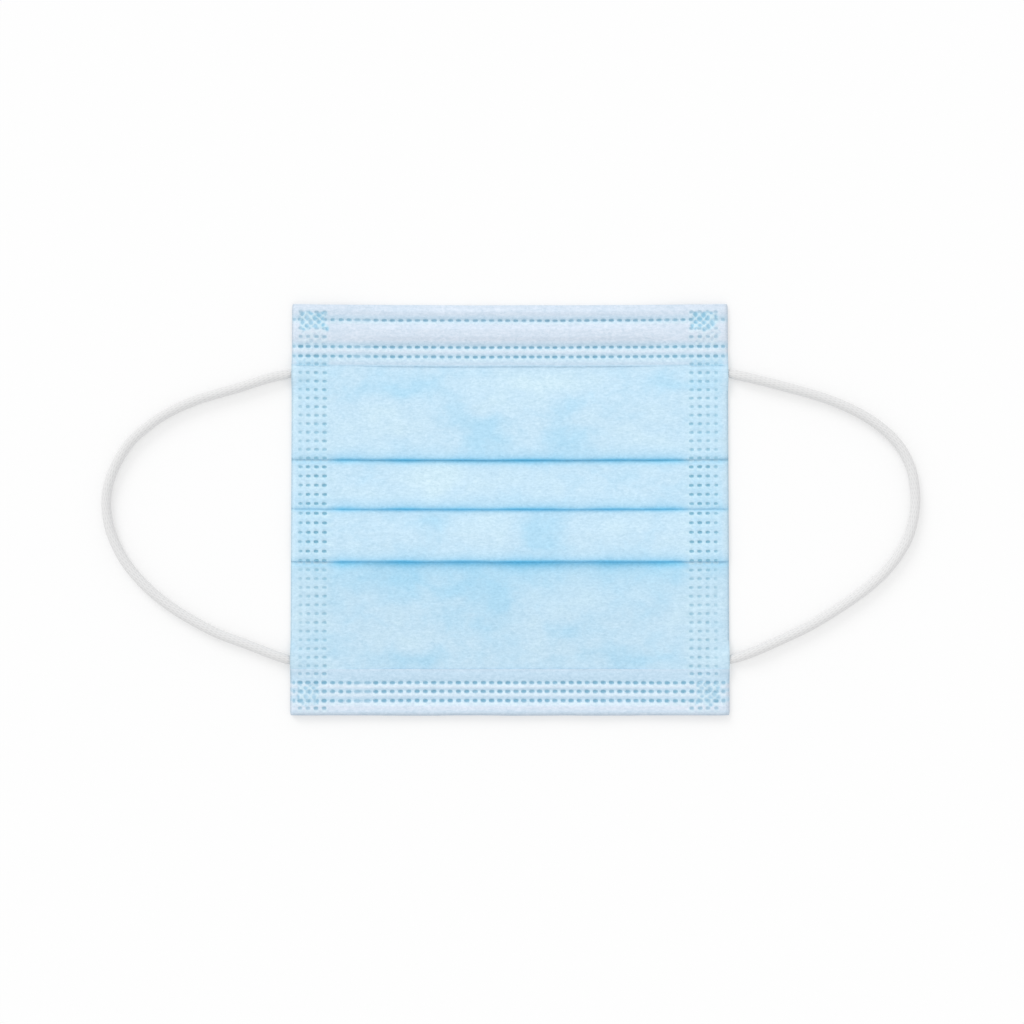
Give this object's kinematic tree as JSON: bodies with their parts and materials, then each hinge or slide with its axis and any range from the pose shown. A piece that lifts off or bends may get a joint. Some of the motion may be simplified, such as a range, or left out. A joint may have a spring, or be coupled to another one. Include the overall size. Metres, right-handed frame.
{
  "type": "surgical face mask",
  "caption": "Disposable pleated face mask lying flat, with folded nose and chin bands, welded sides and round elastic ear loops.",
  "frame": {"origin": "below the middle of the mask's body, on the surface that it lies on", "axes": "+X across the width of the mask, +Y from the chin edge to the nose edge, +Z out of the front face"},
  "size_m": [0.2538, 0.1274, 0.0062],
  "materials": {
    "panel_cloth": "matt nonwoven, light blue",
    "band_cloth": "matt nonwoven, pale blue",
    "loop_elastic": "fine knitted elastic, white"
  },
  "bodies": {
    "root": {"pleated_panel": "panel_cloth", "nose_band": "band_cloth", "chin_band": "band_cloth", "ear_loop_left": "loop_elastic", "ear_loop_right": "loop_elastic"}
  },
  "joints": []
}
